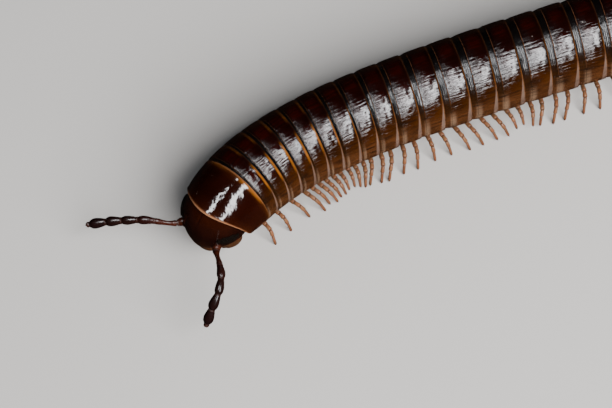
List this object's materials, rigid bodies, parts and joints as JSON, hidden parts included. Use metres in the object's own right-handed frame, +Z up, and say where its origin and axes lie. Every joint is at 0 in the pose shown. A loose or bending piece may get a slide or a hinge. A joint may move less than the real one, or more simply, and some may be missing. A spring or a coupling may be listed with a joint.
{
  "type": "common brown millipede",
  "caption": "Life-size still model of a long, round-bodied brown millipede walking on its feet, with overlapping rings, slender feelers and many fine legs.",
  "frame": {"origin": "on the floor, under the middle of the box round the whole animal", "axes": "+Z up; +X along the box's longest side, from the head's end to the tail's end; the head is at -X"},
  "size_m": [0.0943, 0.0294, 0.0071],
  "materials": {
    "rings": "hard polished cuticle, oxblood to black on the back and amber-brown on the flanks, with translucent orange rear margins, fine lengthwise lines and orange-tan legs",
    "neck_plate": "smooth, mirror-like cuticle, chestnut brown with an orange front and rear rim",
    "head": "smooth glossy cuticle, red-brown, paler at the lips and jaws",
    "eyes": "black, a patch of small round lenses",
    "antennae": "glossy bead-like articles, amber-red at the base and almost black further out, with fine hairs",
    "mouthparts": "satin amber-brown plates",
    "tail": "smooth glossy cuticle, dark red-brown"
  },
  "bodies": {
    "root": {"anal_valve_left": "tail", "anal_valve_right": "tail", "antenna_left": "antennae", "antenna_right": "antennae", "collum": "neck_plate", "eye_left": "eyes", "eye_right": "eyes", "head": "head", "mouth_plate": "mouthparts", "preanal_ring": "tail", "ring_02": "rings", "ring_03": "rings", "ring_04": "rings", "ring_05": "rings", "ring_06": "rings", "ring_07": "rings", "ring_08": "rings", "ring_09": "rings", "ring_10": "rings", "ring_11": "rings", "ring_12": "rings", "ring_13": "rings", "ring_14": "rings", "ring_15": "rings", "ring_16": "rings", "ring_17": "rings", "ring_18": "rings", "ring_19": "rings", "ring_20": "rings", "ring_21": "rings", "ring_22": "rings", "ring_23": "rings", "ring_24": "rings", "ring_25": "rings", "ring_26": "rings", "ring_27": "rings", "ring_28": "rings", "ring_29": "rings", "ring_30": "rings", "ring_31": "rings", "ring_32": "rings", "ring_33": "rings", "ring_34": "rings", "ring_35": "rings", "ring_36": "rings", "ring_37": "rings", "ring_38": "rings", "ring_39": "rings", "ring_40": "rings", "ring_41": "rings", "ring_42": "rings", "ring_43": "rings", "ring_44": "rings", "ring_45": "rings", "ring_46": "rings", "ring_47": "rings", "ring_48": "rings"}
  },
  "joints": []
}
